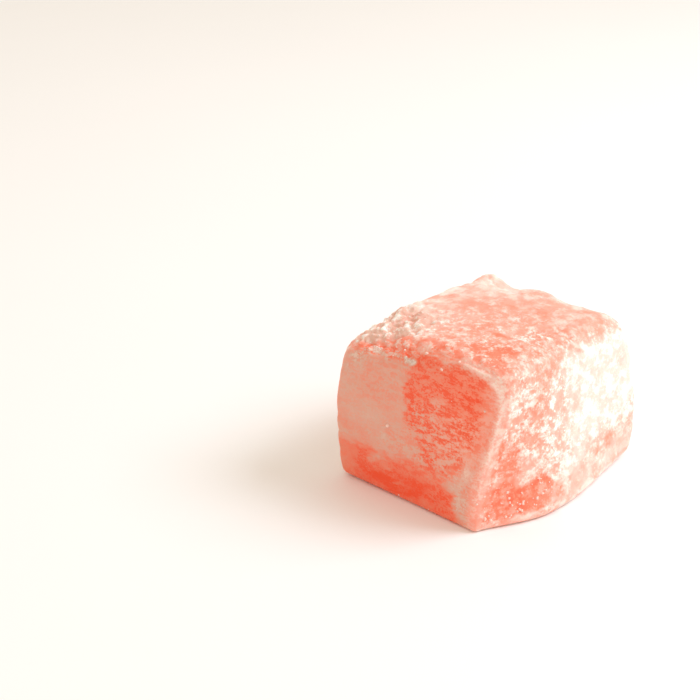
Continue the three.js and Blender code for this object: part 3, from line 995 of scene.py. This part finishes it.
# %% Grains
GRAIN_TRIES = 30000
GRAIN_SEED = 7
GRAIN_RADIUS, GRAIN_RARITY = (0.07, 0.26), 2.0
GRAIN_LIFT = 0.05  # how much of the radius the middle stands out
GRAIN_ABOVE = 0.4  # none lower, or they would stand on the table
ANYWHERE, ON_FRONT, BY_LEFT_EDGE = 0.0005, 0.2, 0.03  # a try's chance to leave a grain
FACING_FRONT, LEFT_OF_MIDDLE = (0.5, 0.95), (1.0, 5.0)  # the front wall, left of its middle
FACING_TOP, FAR_LEFT = (0.3, 0.6), (8.0, 11.0)  # and the top by its left edge
THIN_COAT = (0.3, 0.55)  # only there, where the coat is thinner than this

random = np.random.default_rng(GRAIN_SEED)
seat, seat_out, seat_coat = sugared_skin(scattered_cube(random, GRAIN_TRIES))
on_front_left = rise(-seat_out[:, 1], *FACING_FRONT) * rise(-seat[:, 0], *LEFT_OF_MIDDLE)
by_left_edge = rise(seat_out[:, 2], *FACING_TOP) * rise(-seat[:, 0], *FAR_LEFT)
thin_here = 1.0 - rise(seat_coat["coat"], *THIN_COAT)
likely = ANYWHERE + (ON_FRONT * on_front_left + BY_LEFT_EDGE * by_left_edge) * thin_here
kept = (random.uniform(size=GRAIN_TRIES) < likely) & (seat[:, 2] > GRAIN_ABOVE)
grain_radius = drawn_sizes(random, kept.sum(), GRAIN_RADIUS, GRAIN_RARITY)
grain_middles = seat[kept] + seat_out[kept] * grain_radius[:, None] * GRAIN_LIFT
grain_points, grain_faces = scattered_balls(
    random, grain_middles, grain_radius, rings=4, sides=6, dents=0.1)
grains = make_piece("sugar_grains", grain_points, grain_faces.tolist())
print("grains:", int(kept.sum()), "triangles:", len(grain_faces))

# %% [markdown]
# ## Sugar by itself
#
# Grains and lumps are sugar throughout. They are dull, lit a little from within, and pale pink,
# because the jelly has coloured them.

# %% Sugar material
def sugar(name, pale, deep):
    """Two colours in soft clouds, and a fine bump."""
    shader = Shader(name)
    cloud = shader.noise(shader.place(), 1.2)
    fine = shader.noise(shader.place(), 0.1)
    return shader.finish(
        Base_Color=shader.mix_colours(cloud, (*pale, 1.0), (*deep, 1.0)),
        Roughness=0.85,
        Normal=shader.bump(fine, strength=0.3, distance=0.05),
        Subsurface_Weight=0.2,
        Subsurface_Radius=(1.0, 0.7, 0.6),
        Subsurface_Scale=0.3 * MM,
        Specular_IOR_Level=0.3)


grains.data.materials.append(sugar("loose_sugar", (0.98, 0.73, 0.64), (0.97, 0.60, 0.50)))
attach(grains, "root")

# %% [markdown]
# ## Caked crumbs
#
# On the ridge the sugar has caked, and flakes of it stick to the left wall. They are balls too,
# with more faces, sunk into the skin so that they grow out of the coat. A flake is a row of them
# along a line.

# %% Crumbs
# Where a row starts and ends on the cube, how many crumbs, how far they stray, their radii.
CRUMB_ROWS = {
    "flake by the film": ((-1, 0.15, 0.85), (-1, 0.03, 0.79), 46, 0.12, (0.08, 0.2)),
    "corner flake": ((-1, 0.56, 0.96), (-1, 0.5, 0.92), 24, 0.16, (0.08, 0.2)),
    "front of the ridge": ((-0.92, 0.66, 1), (-0.7, 0.2, 1), 14, 0.9, (0.1, 0.2)),
    "crest of the ridge": ((-0.84, 0.8, 1), (-0.4, 0.44, 1), 22, 1.2, (0.1, 0.24)),
}
CRUMB_RARITY = 1.5
CRUMB_SUNK = 0.6  # how much of the radius the middle lies below the skin


def crumb_seats(random):
    """Points of the cube along each row, strayed by a normal draw, and the crumbs' radii."""
    seats, radii = [], []
    for start, end, count, stray, sizes in CRUMB_ROWS.values():
        along = random.uniform(size=(count, 1))
        row = start * (1.0 - along) + end * along
        lying = np.where(np.abs(start) == 1.0, 0.0, stray / HALF)
        seats.append(np.clip(row + random.normal(size=(count, 3)) * lying, -1.0, 1.0))
        radii.append(drawn_sizes(random, count, sizes, CRUMB_RARITY))
    return np.concatenate(seats), np.concatenate(radii)


crumb_cube, crumb_radius = crumb_seats(random)
crumb_seat, crumb_out, _ = sugared_skin(crumb_cube)
crumb_middles = crumb_seat - crumb_out * crumb_radius[:, None] * CRUMB_SUNK
crumb_points, crumb_faces = scattered_balls(
    random, crumb_middles, crumb_radius, rings=7, sides=10, dents=0.16)
crumbs = make_piece("caked_crumbs", crumb_points, crumb_faces.tolist())
crumbs.data.materials.append(sugar("caked_sugar", (0.95, 0.77, 0.68), (0.90, 0.64, 0.54)))
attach(crumbs, "root")
print("crumbs:", len(crumb_seat), "triangles:", len(crumb_faces))

# %% [markdown]
# ## Table and light
#
# The sweet stands on a plain pale table. A broad lamp on the right lights the front wall and
# grazes the top, and pale surroundings fill the shade on the left.

# %% Stage
TABLE_REACH = 2000.0  # to each side
LAMP_AIM = Vector((0, 0, 10)) * MM
LAMP_SIDE = Vector((0.55, -0.48, 0.7)).normalized()  # where it stands
LAMP_DISTANCE, LAMP_SIZE = 450 * MM, 240 * MM
LAMP_WATTS, LAMP_COLOUR = 1.5, (0.80, 0.88, 1.0)
WORLD_STRENGTH, WORLD_COLOUR = 0.84, (1.0, 0.90, 0.775, 1.0)

table_corners = np.array([(-1, -1, 0), (1, -1, 0), (1, 1, 0), (-1, 1, 0)]) * TABLE_REACH
floor = make_piece("table", table_corners, [(0, 1, 2, 3)])

shader = Shader("pale_table")
mottle = shader.noise(shader.place(), 60.0)
table_colour = shader.mix_colours(mottle, (0.93, 0.92, 0.91, 1.0), (0.95, 0.94, 0.93, 1.0))
floor.data.materials.append(shader.finish(Base_Color=table_colour, Roughness=0.8))

light = bpy.data.lights.new("key", "AREA")
light.size, light.energy, light.color = LAMP_SIZE, LAMP_WATTS, LAMP_COLOUR
lamp = bpy.data.objects.new("key", light)
lamp.location = LAMP_AIM + LAMP_SIDE * LAMP_DISTANCE
lamp.rotation_euler = (-LAMP_SIDE).to_track_quat("-Z", "Y").to_euler()
bpy.context.collection.objects.link(lamp)

world = bpy.data.worlds.new("surroundings")
world.use_nodes = True
background = world.node_tree.nodes["Background"]
background.inputs["Color"].default_value = WORLD_COLOUR
background.inputs["Strength"].default_value = WORLD_STRENGTH
bpy.context.scene.world = world
bpy.context.scene.view_settings.view_transform = "Standard"
